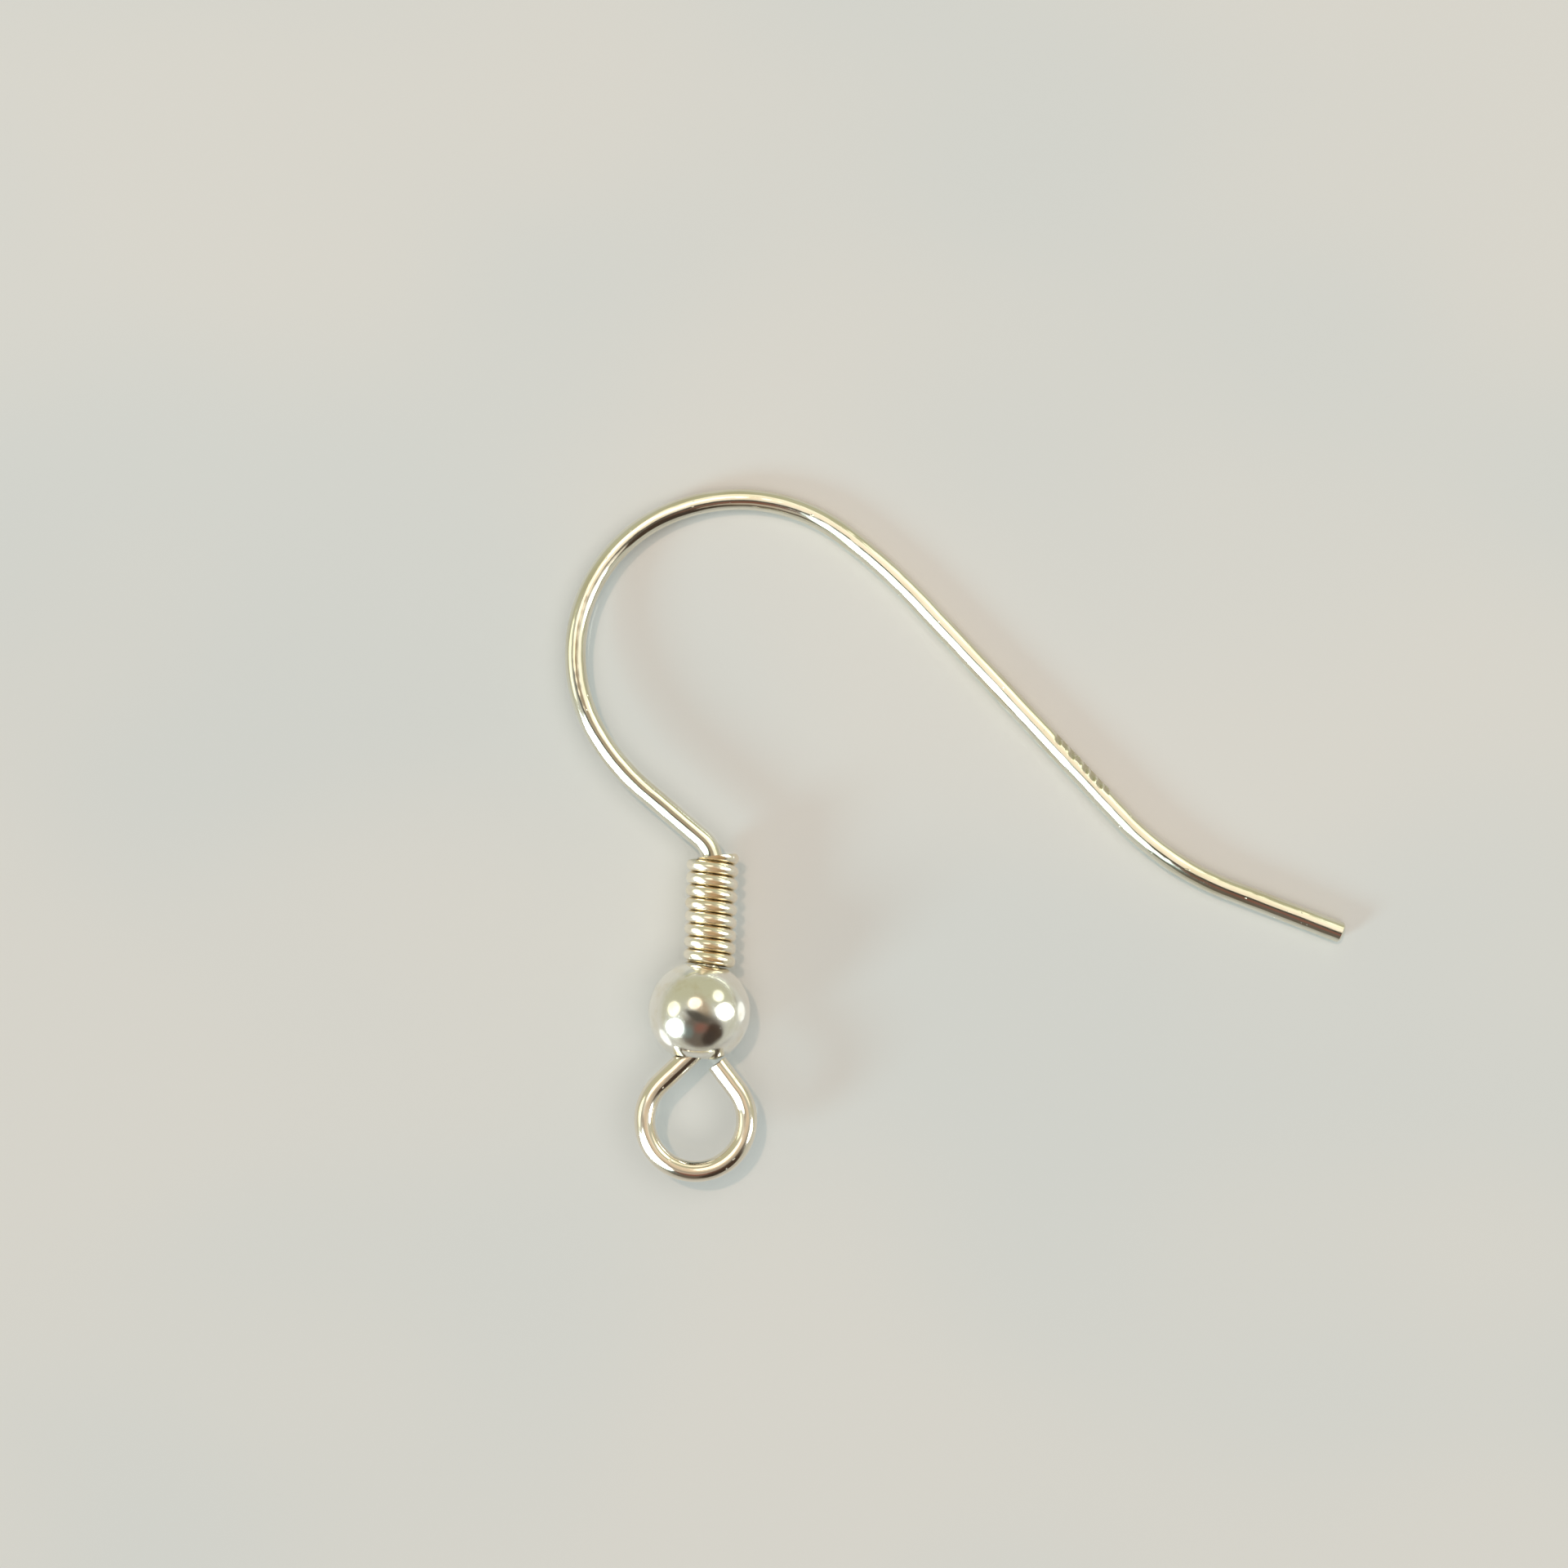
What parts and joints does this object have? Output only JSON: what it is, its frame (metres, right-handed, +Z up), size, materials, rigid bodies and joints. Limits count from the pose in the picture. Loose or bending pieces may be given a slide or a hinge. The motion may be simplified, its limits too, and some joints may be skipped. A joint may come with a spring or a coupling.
{
  "type": "ear wire",
  "caption": "Fish-hook ear wire in silver-plated wire, with a small wound coil and a round bead above the eye that a drop hangs from.",
  "frame": {"origin": "middle of the box round the ear wire, on the surface that it lies on", "axes": "+X to the right along the lying hook, from the coil towards the tail's tip; +Y from the eye towards the arch; +Z up from the surface"},
  "size_m": [0.024, 0.0212, 0.0031],
  "materials": {
    "wire_plate": "bright silver plate over brass wire",
    "coil_plate": "bright silver plate over fine brass wire",
    "bead_plate": "polished silver plate over a hollow brass bead"
  },
  "bodies": {
    "root": {"hook_wire": "wire_plate", "coil": "coil_plate", "bead": "bead_plate"}
  },
  "joints": []
}
